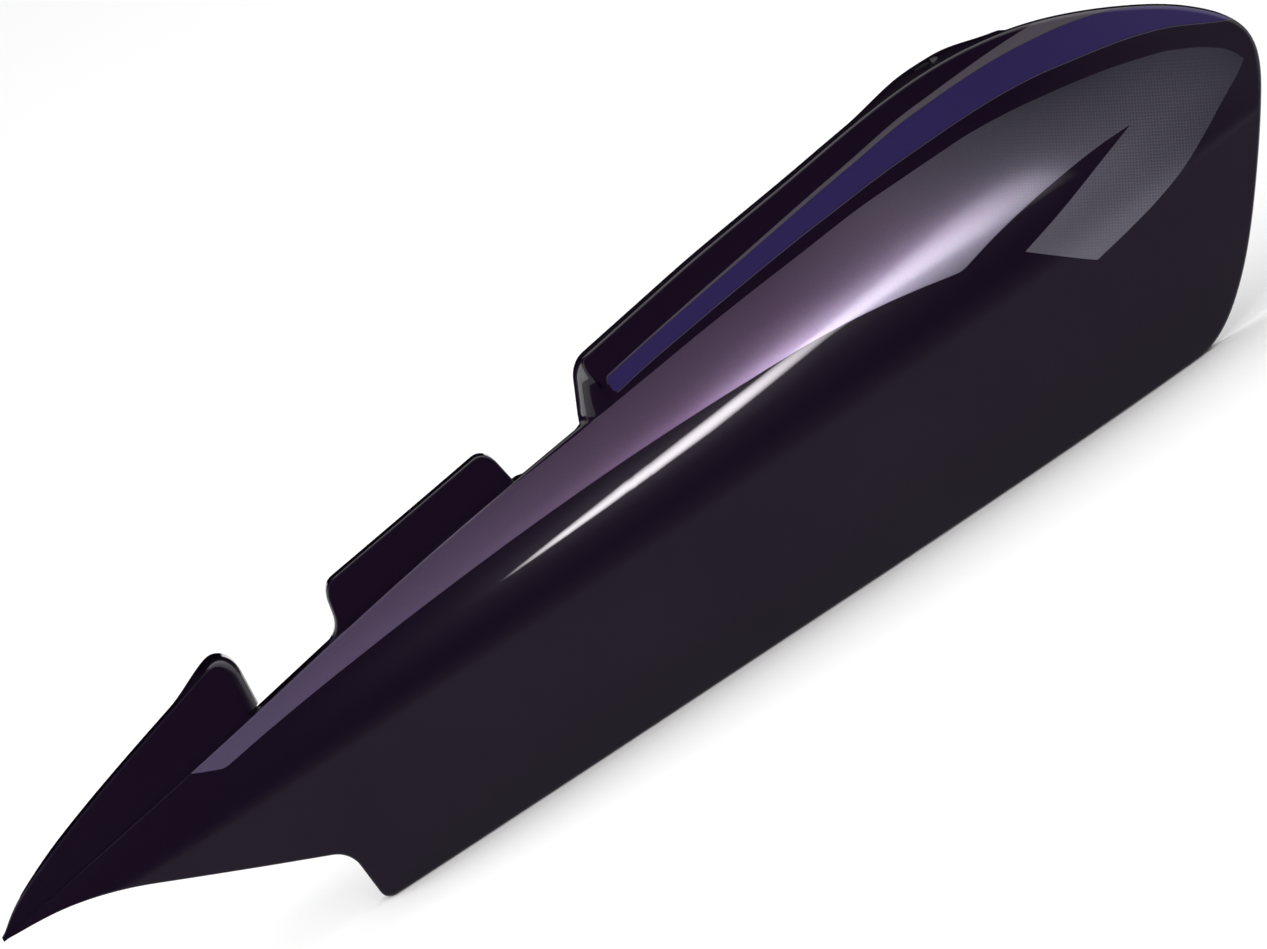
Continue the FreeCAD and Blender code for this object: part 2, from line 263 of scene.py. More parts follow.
def mouldedShell(name, low, high, rows, innerRows, lowEdge, highEdge, setBack=0.0):
    # a grid is laid over the face, round both edges and back over the inside, then its seams are welded
    lowWays, highWays = inwardWays(low, -1), inwardWays(high, 1)
    for ways in (lowWays, highWays):
        ways[-1] = Vector((-1, 0)) if low[-1] == high[-1] else ways[-1]
    columns = len(low) - 1
    fullTurn, crowding = 2 * math.pi, moulding["rowCrowding"]  # rows crowd towards both edges
    shares = [k / rows - crowding * math.sin(fullTurn * k / rows) / fullTurn for k in range(1, rows)]

    def onFace(p, back):
        return Vector((p.x, skinDepth(p.x, p.y) + setBack + back, p.y))

    def roundEdge(start, way, edge):
        ring = edgeRing(*edge, stretch(start.x, start.y))
        return [onFace(start + way * off, back) for off, back in ring]

    profiles = []
    for i in range(columns + 1):
        lowPoints = roundEdge(low[i], lowWays[i], lowEdge(i))
        highPoints = roundEdge(high[i], highWays[i], highEdge(i))
        wall = min(lowEdge(i)[2], highEdge(i)[2])
        outer, inner = [], []
        for share in shares:
            p = lowPoints[0].lerp(highPoints[0], share)
            outer.append(onFace(p.xz, 0))
        for k in range(1, innerRows):
            p = highPoints[-1].lerp(lowPoints[-1], k / innerRows)
            inner.append(onFace(p.xz, wall * stretch(p.x, p.z)))
        profiles.append(lowPoints[::-1] + outer + highPoints + inner + [lowPoints[-1]])
    around = len(profiles[0]) - 1
    deselectAll()
    bpy.ops.mesh.primitive_grid_add(x_subdivisions=columns, y_subdivisions=around, size=1)
    shell = bpy.context.object
    shell.name = shell.data.name = name
    mesh = shell.data
    steps = [(round((v.co.x + 0.5) * columns), round((v.co.y + 0.5) * around)) for v in mesh.vertices]
    for v, (i, j) in zip(mesh.vertices, steps):
        v.co = inRow(*profiles[i][j])
    ringSize = len(edgeRing(1, 1, 1, 1))
    toRim = len(arcAngles) + moulding["rimPoints"]  # points from the face to the end of a return
    firstOuter, lastOuter = ringSize - 1 - toRim, ringSize + rows - 1 + toRim
    for polygon in mesh.polygons:
        j = min(steps[k][1] for k in polygon.vertices)
        polygon.material_index = 0 if firstOuter <= j < lastOuter else 1
    bpy.ops.object.mode_set(mode="EDIT")
    bpy.ops.mesh.select_all(action="SELECT")
    bpy.ops.mesh.remove_doubles(threshold=moulding["weld"])
    bpy.ops.mesh.dissolve_degenerate(threshold=moulding["sliver"])
    bpy.ops.mesh.select_all(action="SELECT")
    bpy.ops.mesh.fill_holes(sides=0)
    bpy.ops.mesh.select_all(action="SELECT")
    bpy.ops.mesh.normals_make_consistent(inside=False)
    bpy.ops.object.mode_set(mode="OBJECT")
    softenShading(shell)
    print("shell", name, len(mesh.vertices), "points", len(mesh.polygons), "faces")
    return shell


# side wall and hump
wallRuns = {
    "noseTip": Vector((0, 78.5)), "noseUnder": Vector((26, 77)), "noseBend": Vector((70, 64.5)),
    "throat": Vector((149.5, 28.8)), "throatRadius": 13.0, "foot": Vector((151, 0)), "footRadius": 5.0,
    "hemStops": (326.0, 354.0), "hemEnd": Vector((582, 0)), "creaseStops": (70.0, 137.0, 145.0, 160.0),
    "stepRootX": 338.0, "stepTop": Vector((350, 149.6)), "stepRadius": 14.0,
    "shoulder": Vector((405, 157.2)), "humpBack": Vector((476, 164.5)), "humpPeak": Vector((546, 169)),
    "tailUpper": (Vector((600, 160.5)), Vector((643, 140.8)), Vector((670, 121))),
    "tailTip": Vector((681, 104)), "tailLower": (Vector((670, 80)), Vector((643, 46.5)), Vector((613, 15))),
    "rollOff": 11.5, "rollIn": 11.0, "rollRise": 3.0,
    "noseBlend": 22.0, "tipHalf": Vector((0, 0.4)), "tipReturn": 7.0, "tipFade": 45.0,
    "counts": (30, 24, 8, 14, 60, 22, 84, 54),  # columns in each run along the panel
    "noseRuns": 2, "stepRun": 5,
    "curveSteps": 24, "rows": 76, "innerRows": 22,
}


def tipFade(x, full, atTip):  # the returns run out towards the nose tip
    return atTip + (full - atTip) * smooth(x / wallRuns["tipFade"])


def sideWall():
    w = wallRuns
    counts, steps = w["counts"], w["curveSteps"]
    root = onCrease(w["stepRootX"])
    hump = [w["shoulder"], w["humpBack"], w["humpPeak"]]
    tail = hump + [*w["tailUpper"], w["tailTip"], *w["tailLower"], w["hemEnd"]]
    tailRun = smoothRun(tail, w["shoulder"] - w["stepTop"], w["foot"] - w["hemEnd"], steps)
    rearStart, tip = len(hump) * steps, (len(hump) + len(w["tailUpper"])) * steps
    throatRun = roundCorner(w["noseBend"], w["throat"], w["foot"], w["throatRadius"])
    footRun = roundCorner(w["throat"], w["foot"], w["hemEnd"], w["footRadius"])
    stepRun = roundCorner(root, w["stepTop"], w["shoulder"], w["stepRadius"])
    nose = [w["noseTip"], w["noseUnder"], w["noseBend"]]
    noseRun = smoothRun(nose, w["noseUnder"] - w["noseTip"], w["throat"] - w["noseBend"], steps)
    hem = [Vector((x, 0)) for x in (footRun[-1].x, *w["hemStops"], w["hemEnd"].x)]
    lowRuns = [noseRun, [w["noseBend"], throatRun[0]], throatRun, [throatRun[-1]] + footRun,
               hem[:2], hem[1:3], hem[2:], tailRun[tip:][::-1]]
    stops = (0.0, *w["creaseStops"], root.x)
    highRuns = [creaseRun(start, end) for start, end in zip(stops, stops[1:])]
    highRuns[0][0] = w["noseTip"]
    highRuns += [[root] + stepRun, [stepRun[-1]] + tailRun[:rearStart + 1], tailRun[rearStart:tip + 1]]
    low, high = chain(lowRuns, counts), chain(highRuns, counts)
    low[0], high[0] = w["noseTip"] - w["tipHalf"], w["noseTip"] + w["tipHalf"]
    noseEnd = sum(counts[:w["noseRuns"]])
    rollStart = sum(counts[:w["stepRun"]])
    rollEnd = rollStart + counts[w["stepRun"]]
    faceLength = (stepRun[0] - root).length
    rollLength = faceLength + sum((b - a).length for a, b in zip(stepRun, stepRun[1:]))
    edgeRound, wall = moulding["edgeRound"], moulding["wall"]

    def noseShare(i):  # everything thins out towards the nose tip
        narrow = (high[i] - low[i]).length / w["noseBlend"]
        return min(1.0, narrow) if i < noseEnd else 1.0

    def lowEdge(i):
        k = noseShare(i)
        depth = tipFade(low[i].x, hemReturn(low[i].x), w["tipReturn"])
        return edgeRound * k, edgeRound * k, wall * k, depth

    def highEdge(i):  # the hump's front end is rolled back
        k = noseShare(i)
        roll = 0.0
        if rollStart < i < rollEnd:
            reach = rollLength * (i - rollStart) / (rollEnd - rollStart)
            falling = smooth((reach - faceLength) / (rollLength - faceLength))
            roll = smooth(reach / w["rollRise"]) * (1 - falling)
        off = edgeRound + (w["rollOff"] - edgeRound) * roll
        back = edgeRound + (w["rollIn"] - edgeRound) * roll
        depth = tipFade(high[i].x, upperReturn(high[i].x), w["tipReturn"])
        return off * k, back * k, wall * k, depth

    return mouldedShell("tailPanel", low, high, w["rows"], w["innerRows"], lowEdge, highEdge)


# nose flange and seat tab, set back behind the crease
trays = {"setBack": 5.0, "lipDepth": 9.0, "overlap": 5.0, "edgeRound": 1.5, "rootWall": 0.3, "rootDepth": 0.5,
         "rootWalls": 2, "noseBlend": 16.0, "rows": 16, "innerRows": 8}
flange = {"ridge": (Vector((9, 84.7)), Vector((26, 92.5)), Vector((70, 107))), "rootX": 40.0, "endX": 152.0,
          "rise": 26.2, "lean": 2.5, "radius": 9.0, "endOff": 7.5, "endIn": 13.0, "endDepth": 23.0,
          "tipDepth": 2.0, "endFade": 9, "rollLead": 2, "counts": (54, 10, 20), "noseCount": 34}
tab = {"frontX": 199.0, "rearX": 300.0, "frontRise": 18.0, "rearRise": 15.5, "frontTaper": 4.5,
       "rearTaper": 3.0, "frontRadius": 9.0, "rearRadius": 7.5, "flareLength": 10.0, "flareRadius": 11.0,
       "toeDepth": 5.8, "counts": (3, 10, 5, 12, 40, 10, 14), "toeRuns": 3}


def trayShell(name, low, high, edgeAt, noseCount=0):
    wall = moulding["wall"]

    def share(i):
        narrow = (high[i] - low[i]).length / trays["noseBlend"]
        return min(1.0, narrow) if i < noseCount else 1.0

    def lowEdge(i):  # buried in the side wall
        k = share(i)
        depth = wall * trays["rootWalls"] * k + trays["rootDepth"]
        return trays["rootWall"] * k, trays["rootWall"] * k, wall * k, depth

    def highEdge(i):
        k = share(i)
        off, back, depth = edgeAt(i)
        return off * k, back * k, wall * k, depth

    return mouldedShell(name, low, high, trays["rows"], trays["innerRows"], lowEdge, highEdge,
                        trays["setBack"])


def noseFlange():
    endX, tip = flange["endX"], wallRuns["noseTip"]
    top = onCrease(endX, flange["rise"]) + Vector((flange["lean"], 0))
    end = onCrease(endX)
    ridge = smoothRun([tip, *flange["ridge"], top])
    corner = roundCorner(ridge[-2], top, end, flange["radius"])
    ridge = [p for p in ridge if p.x < corner[0].x]
    high = chain([ridge + [corner[0]], corner, [corner[-1], end]], flange["counts"])
    low = spread([tip] + creaseRun(flange["rootX"], endX, -trays["overlap"]), len(high) - 1)
    low[0], high[0] = tip - wallRuns["tipHalf"], tip + wallRuns["tipHalf"]

    def edgeAt(i):  # the rear end is deeper and rolled back
        past = i - flange["counts"][0]
        deep = smooth((past + flange["endFade"]) / flange["endFade"])
        roll = smooth((past + flange["rollLead"]) / flange["counts"][1])
        plain = trays["edgeRound"]
        off, back = plain + (flange["endOff"] - plain) * roll, plain + (flange["endIn"] - plain) * roll
        lip = tipFade(high[i].x, trays["lipDepth"], flange["tipDepth"])
        return off, back, lip + (flange["endDepth"] - lip) * deep

    return trayShell("noseFlange", low, high, edgeAt, flange["noseCount"])


def seatTab():
    frontX, rearX = tab["frontX"], tab["rearX"]
    toe = onCrease(frontX - tab["flareLength"])
    foot = onCrease(frontX)
    frontTop = foot + Vector((tab["frontTaper"], tab["frontRise"]))
    rearTop = onCrease(rearX) + Vector((-tab["rearTaper"], tab["rearRise"]))
    rearRoot = onCrease(rearX)
    flare = roundCorner(toe, foot, frontTop, tab["flareRadius"])
    frontCorner = roundCorner(foot, frontTop, rearTop, tab["frontRadius"])
    rearCorner = roundCorner(frontTop, rearTop, rearRoot, tab["rearRadius"])
    runs = [[toe, flare[0]], flare, [flare[-1], frontCorner[0]], frontCorner,
            [frontCorner[-1], rearCorner[0]], rearCorner, [rearCorner[-1], rearRoot]]
    high = chain(runs, tab["counts"])
    low = spread(creaseRun(toe.x, rearX, -trays["overlap"]), len(high) - 1)

    def edgeAt(i):  # the lip fades out at the toe
        lip = smooth(i / sum(tab["counts"][:tab["toeRuns"]]))
        depth = tab["toeDepth"] + (trays["lipDepth"] - tab["toeDepth"]) * lip
        return trays["edgeRound"], trays["edgeRound"], depth

    return trayShell("seatTab", low, high, edgeAt)


# fixings inside: locating pin behind the foot, bolt pad under the ear
pin = {"x": 190.0, "z": 26.0, "radius": 4.0, "length": 14.0, "chamfer": 1.2, "bossRadius": 6.0,
       "bossHeight": 8.0, "gussetReach": 6.0, "gussetThickness": 2.0, "gussetDrop": 0.3, "bossSunk": 1.2,
       "gussetSunk": 1.5, "gussetStep": 0.002, "edgeRound": 0.35, "sides": 48,
       "topFacing": 0.9, "smoothAngle": 30}
pad = {"radius": 8.0, "height": 5.0, "sunk": 0.5, "edgeRound": 0.6, "holeRadius": 3.5, "holeLength": 16.0,
       "sides": 64}


def selectFaces(piece, chosen):
    selectOnly(piece)
    bpy.ops.object.mode_set(mode="EDIT")
    bpy.ops.mesh.select_mode(type="FACE")
    bpy.ops.mesh.select_all(action="DESELECT")
    bpy.ops.object.mode_set(mode="OBJECT")
    for polygon in piece.data.polygons:
        polygon.select = chosen(polygon)
    bpy.ops.object.mode_set(mode="EDIT")


def roundEdges(piece, width, degrees=50, segments=3):
    modifier = piece.modifiers.new("edgeRound", "BEVEL")
    modifier.width, modifier.segments = width * millimetre, segments
    modifier.angle_limit = math.radians(degrees)
    selectOnly(piece)
    bpy.ops.object.modifier_apply(modifier=modifier.name)


def combine(piece, tool, operation):  # joins or cuts with a second piece, which is used up
    modifier = piece.modifiers.new("combine", "BOOLEAN")
    modifier.object, modifier.operation, modifier.solver = tool, operation, "MANIFOLD"
    selectOnly(piece)
    bpy.ops.object.modifier_apply(modifier=modifier.name)
    bpy.data.objects.remove(tool, do_unlink=True)


def roundBar(name, radius, length, base, alongY, sides):
    deselectAll()
    turn = (math.radians(-90), 0, 0) if alongY else (0, 0, 0)
    middle = base + (Vector((0, length / 2, 0)) if alongY else Vector((0, 0, length / 2))) * millimetre
    bpy.ops.mesh.primitive_cylinder_add(vertices=sides, radius=radius * millimetre, depth=length * millimetre,
                                        location=middle, rotation=turn)
    bar = bpy.context.object
    bar.name = name
    bpy.ops.object.transform_apply(location=True, rotation=True, scale=True)
    return bar


def sinkInWall(piece, base, depth):  # the foot of a rib follows the wall
    for v in piece.data.vertices:
        if v.co.y < base.y + millimetre:
            place = v.co / millimetre + seat
            v.co.y = inRow(0, skinDepth(place.x, place.z) + depth, 0).y


def locatingPin():
    wall = moulding["wall"]
    base = inRow(pin["x"], skinDepth(pin["x"], pin["z"]) + wall / 2, pin["z"])
    rise = wall / 2 + pin["bossHeight"]
    boss = roundBar("locatingPin", pin["bossRadius"], rise, base, True, pin["sides"])
    sinkInWall(boss, base, pin["bossSunk"])
    selectFaces(boss, lambda polygon: polygon.normal.y > pin["topFacing"])
    bpy.ops.mesh.inset(thickness=(pin["bossRadius"] - pin["radius"]) * millimetre)
    free = pin["length"] - pin["chamfer"]
    bpy.ops.mesh.extrude_region_move(TRANSFORM_OT_translate={"value": (0, free * millimetre, 0)})
    bpy.ops.mesh.extrude_region_move(TRANSFORM_OT_translate={"value": (0, pin["chamfer"] * millimetre, 0)})
    narrow = 1 - pin["chamfer"] / pin["radius"]
    tip = base + Vector((0, rise + pin["length"], 0)) * millimetre
    bpy.ops.transform.resize(value=(narrow, 1, narrow), center_override=tip)
    bpy.ops.object.mode_set(mode="OBJECT")
    roundEdges(boss, pin["edgeRound"])
    reach = pin["bossRadius"] + pin["gussetReach"]
    for turn in (0, 90):  # two webs cross in the boss
        deselectAll()
        bpy.ops.mesh.primitive_cube_add(size=1)
        gusset = bpy.context.object
        for v in gusset.data.vertices:
            high = v.co.y > 0
            out = (pin["bossRadius"] if high else reach) * (1 if v.co.x > 0 else -1)
            up = rise - pin["gussetDrop"] if high else 0
            v.co = Vector((out, up, v.co.z * pin["gussetThickness"])) * millimetre
        gusset.rotation_euler = (0, math.radians(turn), 0)
        gusset.location = base
        bpy.ops.object.transform_apply(location=True, rotation=True, scale=True)
        sinkInWall(gusset, base, pin["gussetSunk"] + turn * pin["gussetStep"])
        combine(boss, gusset, "UNION")
    softenShading(boss, pin["smoothAngle"])
    return boss


def boltPad():
    base = Vector((0, 0, -pad["height"])) * millimetre
    piece = roundBar("boltPad", pad["radius"], pad["height"] - pad["sunk"], base, False, pad["sides"])
    roundEdges(piece, pad["edgeRound"])
    return piece


def boltHole():
    base = Vector((0, 0, -pad["holeLength"] / 2)) * millimetre
    return roundBar("boltHole", pad["holeRadius"], pad["holeLength"], base, False, pad["sides"])


# shader sums
class Flow:  # a socket that takes part in sums
    def __init__(self, tree, socket=None):
        self.tree, self.socket = tree, socket

    def node(self, kind, settings, links, out=0):  # settings first, then the sockets
        made = self.tree.nodes.new(kind)
        for name, value in settings.items():
            if name == "line":  # points of a curve, a third value marks a sharp corner
                points = made.mapping.curves[0].points
                while len(points) < len(value):
                    points.new(0.5, 0.5)
                for point, place in zip(points, value):
                    point.location = place[:2]
                    point.handle_type = "VECTOR" if len(place) > 2 else "AUTO_CLAMPED"
                made.mapping.update()
            else:
                setattr(made, name, value)
        for name, value in links.items():
            if isinstance(value, Flow):
                self.tree.links.new(value.socket, made.inputs[name])
            else:
                made.inputs[name].default_value = value
        return Flow(self.tree, made.outputs[out])

    def also(self, out):  # another socket of the same node
        return Flow(self.tree, self.socket.node.outputs[out])

    def sum(self, operation, a, b=0.0, clamp=False):
        return self.node("ShaderNodeMath", {"operation": operation, "use_clamp": clamp}, {0: a, 1: b})

    def __add__(self, other):
        return self.sum("ADD", self, other)

    def __sub__(self, other):
        return self.sum("SUBTRACT", self, other)

    def __rsub__(self, other):
        return self.sum("SUBTRACT", other, self)

    def __mul__(self, other):
        return self.sum("MULTIPLY", self, other)

    def __truediv__(self, other):
        return self.sum("DIVIDE", self, other)

    __radd__ = __add__
    __rmul__ = __mul__

    def lower(self, other):
        return self.sum("MINIMUM", self, other)

    def higher(self, other):
        return self.sum("MAXIMUM", self, other)

    def clamped(self):
        return self.sum("ADD", self, 0.0, True)

    def ramp(self, start, end):  # 0 at the start, 1 at the end
        return ((self - start) / (end - start)).clamped()

    def blend(self, first, second):  # colours mixed by this value
        return self.node("ShaderNodeMix", {"data_type": "RGBA"}, {0: self, 6: first, 7: second}, 2)

    def into(self, shader, name):
        self.tree.links.new(self.socket, shader.inputs[name])


def newMaterial(name):
    material = bpy.data.materials.new(name)
    material.use_nodes = True
    tree = material.node_tree
    return material, Flow(tree), tree.nodes["Principled BSDF"]


def fixed(shader, values):  # sockets that are the same all over
    for name, value in values.items():
        shader.inputs[name].default_value = value


def noise(flow, place, scale, detail=2.0):
    return flow.node("ShaderNodeTexNoise", {}, {"Vector": place, "Scale": scale, "Detail": detail})


# printed gloss paint, with painted highlight in the stripe and the border: stripe edges as (length, height)
# on the side view, in mm
paint = {
    "black": (0.0068, 0.0030, 0.0102, 1), "violet": (0.18, 0.137, 0.252, 1),
    # the lilac is partly the print's fade towards silver and partly a painted highlight, paler where the
    # lamp's highlight lies
    "mauve": (0.152, 0.099, 0.175, 1), "lilacAndHighlight": (0.205, 0.19, 0.245, 1),
    "silver": (0.195, 0.185, 0.235, 1), "dusk": (0.048, 0.045, 0.066, 1),
    # the border grey is a printed pinstripe; where it widens at the rear it also paints the highlight on the
    # rolled top edge
    "blue": (0.030, 0.020, 0.095, 1), "borderAndHighlight": (0.062, 0.053, 0.068, 1), "hairline": (0.10, 0.09, 0.14, 1),
    "span": (700.0, 200.0), "softness": 0.35, "outward": (-0.2, -0.32),
    "mauveTop": (100, 641, 45), "mauveDrop": 1.2, "dropRange": (280, 340),
    "mauveEnd": ((652, 116), (663, 109), (670, 102.5), (673, 96)),
    "mauveLow": ((109, 96.5), (123.8, 90.7, "corner"), (153, 94.8), (204, 100.2), (258, 104.4), (317, 107.3),
                 (370, 108.2), (414, 107.6), (445, 106.4), (480, 102.6), (516, 95.8, "corner"), (541, 101.0),
                 (575, 105.0), (598, 106.0), (614.7, 105.2, "corner")),
    "patchTop": ((544, 87.6), (564, 92.3), (596, 100.9), (614.7, 105.6, "corner"), (640, 114)),
    "patchLow": ((542, 89.4), (544, 87.4, "corner"), (568.5, 66.2, "corner"), (590, 69.4), (607, 72.5),
                 (623, 76.6), (638, 82.3), (655, 89.4), (668, 94.4), (673, 97)),
    "patchFront": 543.0, "stripeEnd": 673.0,
    "blueLow": ((357, 132.6), (371, 135), (405, 139.2), (442, 143), (480, 145.9), (526, 147.8), (548, 147.7),
                (580, 145.5), (609, 139.8), (643, 129.6), (674, 113.6)),
    "blueTop": ((357, 139.4), (390, 144), (448, 150.9), (499, 156.2), (541, 159.1), (573, 158.3),
                (600, 154.8), (622, 149.5), (643, 140.5), (674, 119)),
    "blueFront": 358.5, "blueCorner": 2.2,
    # the border widens towards the rear, where it paints the highlight along the rolled top edge
    "borderAndHighlightWidth": ((357, 0.5), (450, 1.3), (520, 2.0), (578, 3.4), (640, 9.0)),
    "borderLap": 0.2, "borderLead": 0.6, "hairlineWidth": 0.5, "hairlineLag": 1.0,
    "dotPitch": 1.35, "dotTurn": 58.0, "dotGrow": (500.0, 640.0), "dotSize": 0.5, "dotEdge": 6.0,
    "dotDepth": 0.55,
    # the lilac ramps paint a highlight: paler lilac low on the stripe where the lamp's highlight lies, then
    # the print's own fade
    "toMauve": (150, 330), "toLilacAndHighlight": (440, 580), "highlightLead": (380, 480), "highlightBelow": (106, 124),
    "toSilver": (540, 600), "duskRear": (500, 610), "duskRise": (100, 137), "toDusk": (600, 672),
    "flakeScale": 1500.0, "flakeDetail": 1.0, "flakeDepth": 0.35, "stripeMetal": 0.62, "blueMetal": 0.3,
    "roughness": 0.18, "roughScale": 9.0, "roughPatches": 0.05, "roughFlakes": 0.04,
    "smearScale": 14.0, "smearDetail": 4.0, "smearRange": (0.35, 0.62), "smearDepth": 0.12,
    "gloss": {"Specular IOR Level": 0.05, "Coat Roughness": 0.025, "Coat IOR": 1.32},
}


def printedPaint():
    material, flow, bsdf = newMaterial("printedGloss")
    place = flow.node("ShaderNodeTexCoord", {}, {}, "Object")
    split = flow.node("ShaderNodeSeparateXYZ", {}, {0: place})
    corner = inRow(0, 0, 0)
    x = (split.also(0) - corner.x) / millimetre
    z = (split.also(2) - corner.z) / millimetre
    spanX, spanZ = paint["span"]
    facing = flow.node("ShaderNodeSeparateXYZ", {}, {0: place.also("Normal")})
    outward = facing.also(1).ramp(*paint["outward"])  # the print ends where the edges turn back

    def line(points):
        places = [(p[0] / spanX, p[1] / spanZ, *p[2:]) for p in points]
        return flow.node("ShaderNodeFloatCurve", {"line": places}, {"Value": x / spanX}) * spanZ

    def over(value, edge):  # 1 where the value is past the edge
        return ((value - edge) / paint["softness"]).clamped()

    def between(low, high):
        return over(z, low) * over(high, z)

    dropStart, dropEnd = paint["dropRange"]
    topPoints = []
    for station in range(*paint["mauveTop"]):  # just under the crease
        drop = paint["mauveDrop"] * smooth((station - dropStart) / (dropEnd - dropStart))
        topPoints.append((station, creaseHeight(station) - drop))
    mauveTop = line(topPoints + list(paint["mauveEnd"]))
    mauve = between(line(paint["mauveLow"]), mauveTop) * over(x, paint["mauveLow"][0][0])
    patchTop = line(paint["patchTop"]).lower(mauveTop)
    patch = between(line(paint["patchLow"]), patchTop) * over(x, paint["patchFront"])
    stripe = mauve.higher(patch) * over(paint["stripeEnd"], x)

    bend = 1 - ((x - paint["blueFront"]) / paint["blueCorner"]).clamped()  # rounds the blue's front end
    pull = (1 - flow.sum("SQRT", (1 - bend * bend).clamped())) * paint["blueCorner"]
    blueLow, blueTop = line(paint["blueLow"]) + pull, line(paint["blueTop"]) - pull
    blue = between(blueLow, blueTop) * over(x, paint["blueFront"])
    # printed pinstripe above the blue; its wide rear part is a painted highlight on the rolled top edge
    edgingAndHighlight = between(blueTop - paint["borderLap"], blueTop + line(paint["borderAndHighlightWidth"]))
    edgingAndHighlight = edgingAndHighlight * over(x, paint["blueFront"] - paint["borderLead"])
    hairline = between(blueLow - paint["hairlineWidth"], blueLow)
    hairline = hairline * over(x, paint["blueFront"] + paint["hairlineLag"])

    turn = math.radians(paint["dotTurn"])
    across = (x * math.cos(turn) + z * math.sin(turn)) / paint["dotPitch"]
    upward = (z * math.cos(turn) - x * math.sin(turn)) / paint["dotPitch"]
    offX = flow.sum("FRACT", across) - 0.5
    offZ = flow.sum("FRACT", upward) - 0.5
    reach = flow.sum("SQRT", offX * offX + offZ * offZ)
    dots = ((x.ramp(*paint["dotGrow"]) * paint["dotSize"] - reach) * paint["dotEdge"]).clamped()

    # painted highlight: a paler, more neutral lilac where the lamp's highlight falls on the stripe, low at
    # first, then all across as the print fades towards silver
    lilacAndHighlight = x.ramp(*paint["toLilacAndHighlight"]).higher(x.ramp(*paint["highlightLead"]) * (1 - z.ramp(*paint["highlightBelow"])))
    rear = x.ramp(*paint["duskRear"]) * z.ramp(*paint["duskRise"])
    stripeColour = x.ramp(*paint["toMauve"]).blend(paint["violet"], paint["mauve"])
    stripeColour = lilacAndHighlight.blend(stripeColour, paint["lilacAndHighlight"])
    stripeColour = x.ramp(*paint["toSilver"]).blend(stripeColour, paint["silver"])
    stripeColour = rear.blend(stripeColour, paint["dusk"])
    stripeColour = x.ramp(*paint["toDusk"]).blend(stripeColour, paint["dusk"])
    stripeColour = (dots * paint["dotDepth"]).blend(stripeColour, paint["dusk"])
    flakes = noise(flow, place, paint["flakeScale"], paint["flakeDetail"])
    stripeColour = flow.node("ShaderNodeMix", {"data_type": "RGBA", "blend_type": "MULTIPLY"},
                             {0: paint["flakeDepth"], 6: stripeColour, 7: flakes.also(1)}, 2)
    colour = stripe.blend(paint["black"], stripeColour)
    colour = blue.blend(colour, paint["blue"])
    colour = edgingAndHighlight.blend(colour, paint["borderAndHighlight"])
    colour = hairline.blend(colour, paint["hairline"])
    outward.blend(paint["black"], colour).into(bsdf, "Base Color")
    metal = (stripe * paint["stripeMetal"] + blue * paint["blueMetal"]) * outward
    metal.into(bsdf, "Metallic")
    patches = noise(flow, place, paint["roughScale"])
    roughness = paint["roughness"] + patches * paint["roughPatches"] + flakes * paint["roughFlakes"]
    roughness.into(bsdf, "Roughness")
    smears = noise(flow, place, paint["smearScale"], paint["smearDetail"]).ramp(*paint["smearRange"])
    coat = 1 - smears * paint["smearDepth"]
    coat.into(bsdf, "Coat Weight")
    fixed(bsdf, paint["gloss"])
    return material


# bare black plastic inside
inside = {"dark": (0.010, 0.0095, 0.011, 1), "light": (0.019, 0.018, 0.020, 1),
          "mottle": 60.0, "mottleDetail": 5.0, "mottleRange": (0.35, 0.65), "grain": 1400.0,
          "roughness": 0.36, "roughMottle": 0.14, "roughGrain": 0.06,
          "bumpStrength": 0.25, "bumpDistance": 0.0002}


def barePlastic():
    material, flow, bsdf = newMaterial("barePlastic")
    place = flow.node("ShaderNodeTexCoord", {}, {}, "Object")
    mottle = noise(flow, place, inside["mottle"], inside["mottleDetail"])
    grain = noise(flow, place, inside["grain"])
    mottle.ramp(*inside["mottleRange"]).blend(inside["dark"], inside["light"]).into(bsdf, "Base Color")
    roughness = inside["roughness"] + mottle * inside["roughMottle"] + grain * inside["roughGrain"]
    roughness.into(bsdf, "Roughness")
    sockets = {"Strength": inside["bumpStrength"], "Distance": inside["bumpDistance"], "Height": grain}
    bump = flow.node("ShaderNodeBump", {}, sockets)
    bump.into(bsdf, "Normal")
    return material


printed, bare = printedPaint(), barePlastic()
print("finishes", printed.name, bare.name)


def dress(piece, allBare=False):
    if allBare:
        piece.data.materials.clear()
    for finish in (printed, bare):
        piece.data.materials.append(finish)
    if allBare:
        for polygon in piece.data.polygons:
            polygon.material_index = 1


tailPanel = sideWall()
dress(tailPanel)
for piece, allBare in ((noseFlange(), False), (seatTab(), False), (locatingPin(), True), (boltPad(), True)):
    dress(piece, allBare)
    combine(tailPanel, piece, "UNION")
hole = boltHole()
dress(hole, True)
combine(tailPanel, hole, "DIFFERENCE")
softenShading(tailPanel)
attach(tailPanel, "root")
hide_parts("tail_panel")
print("panel", len(tailPanel.data.polygons), "faces")


